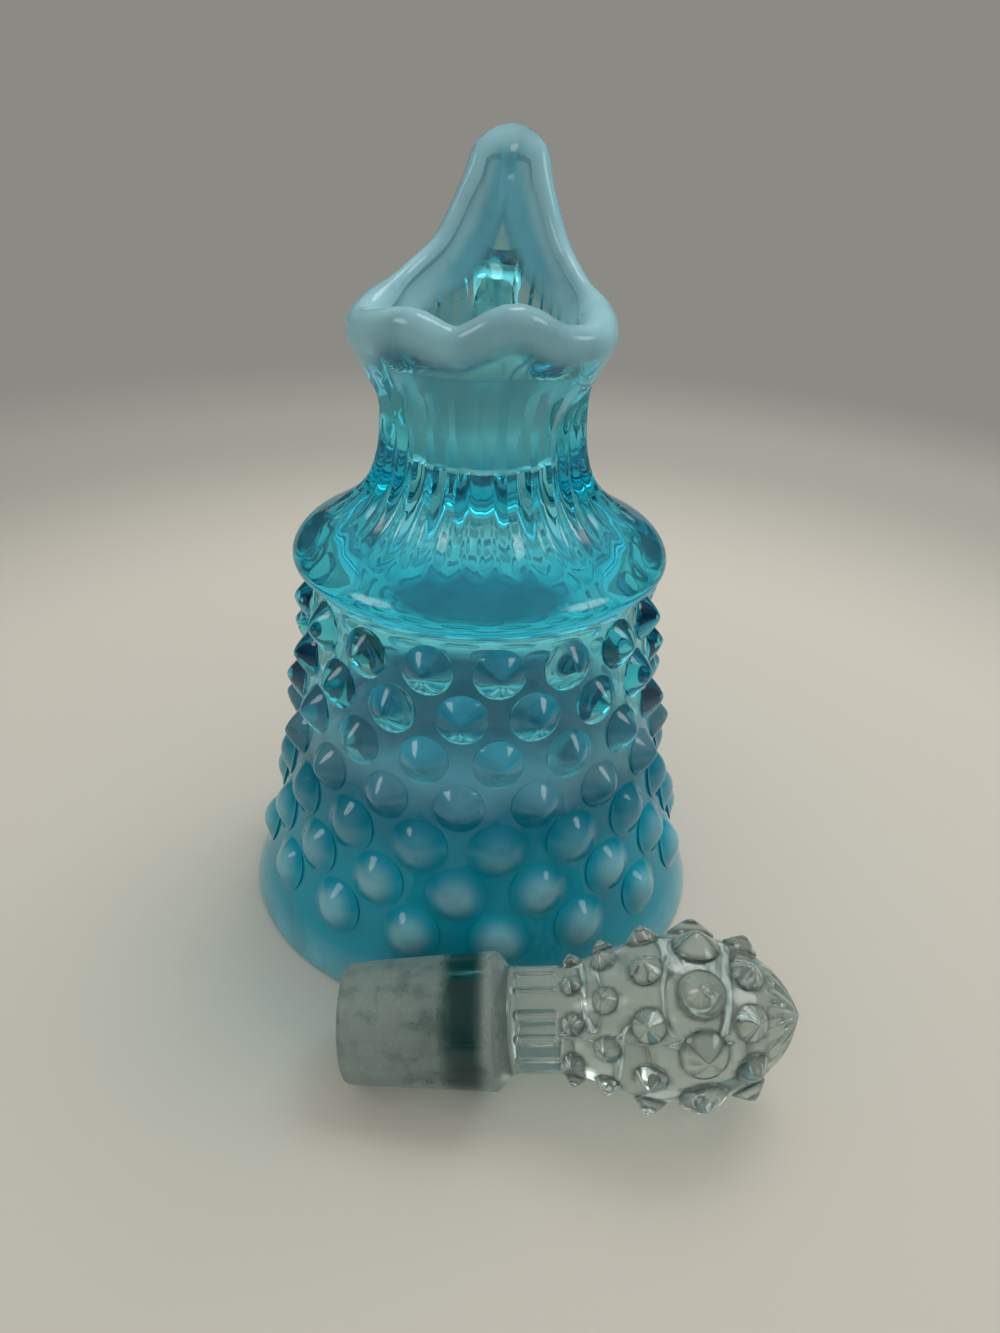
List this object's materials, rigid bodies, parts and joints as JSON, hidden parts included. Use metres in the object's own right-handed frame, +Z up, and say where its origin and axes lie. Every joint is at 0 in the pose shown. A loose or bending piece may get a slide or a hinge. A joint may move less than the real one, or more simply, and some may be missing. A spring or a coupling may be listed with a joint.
{
  "type": "hobnail glass cruet",
  "caption": "Hobnail pressed glass cruet with a bell body, a ribbed neck, a drawn three-cornered pouring lip, a back handle and a ground glass stopper lying beside it.",
  "frame": {"origin": "on the bottle's axis, at the height of the table that its foot stands on", "axes": "+Z up along the bottle's axis, -Y towards the stopper that lies in front, +Y towards the handle"},
  "size_m": [0.1035, 0.1272, 0.1476],
  "materials": {
    "blue_opalescent_glass": "fire-polished, opalescent at the lip and foot",
    "blue_glass": "fire-polished",
    "clear_glass": "fire-polished finial, ground plug"
  },
  "bodies": {
    "cruet": {"bottle": "blue_opalescent_glass", "handle": "blue_glass"},
    "stopper": {"stopper": "clear_glass"}
  },
  "joints": [
    {"name": "stopper_lift", "type": "slide", "parent": "cruet", "child": "stopper", "axis": [0, 0, 1], "range_m": [0, 0.17]}
  ]
}
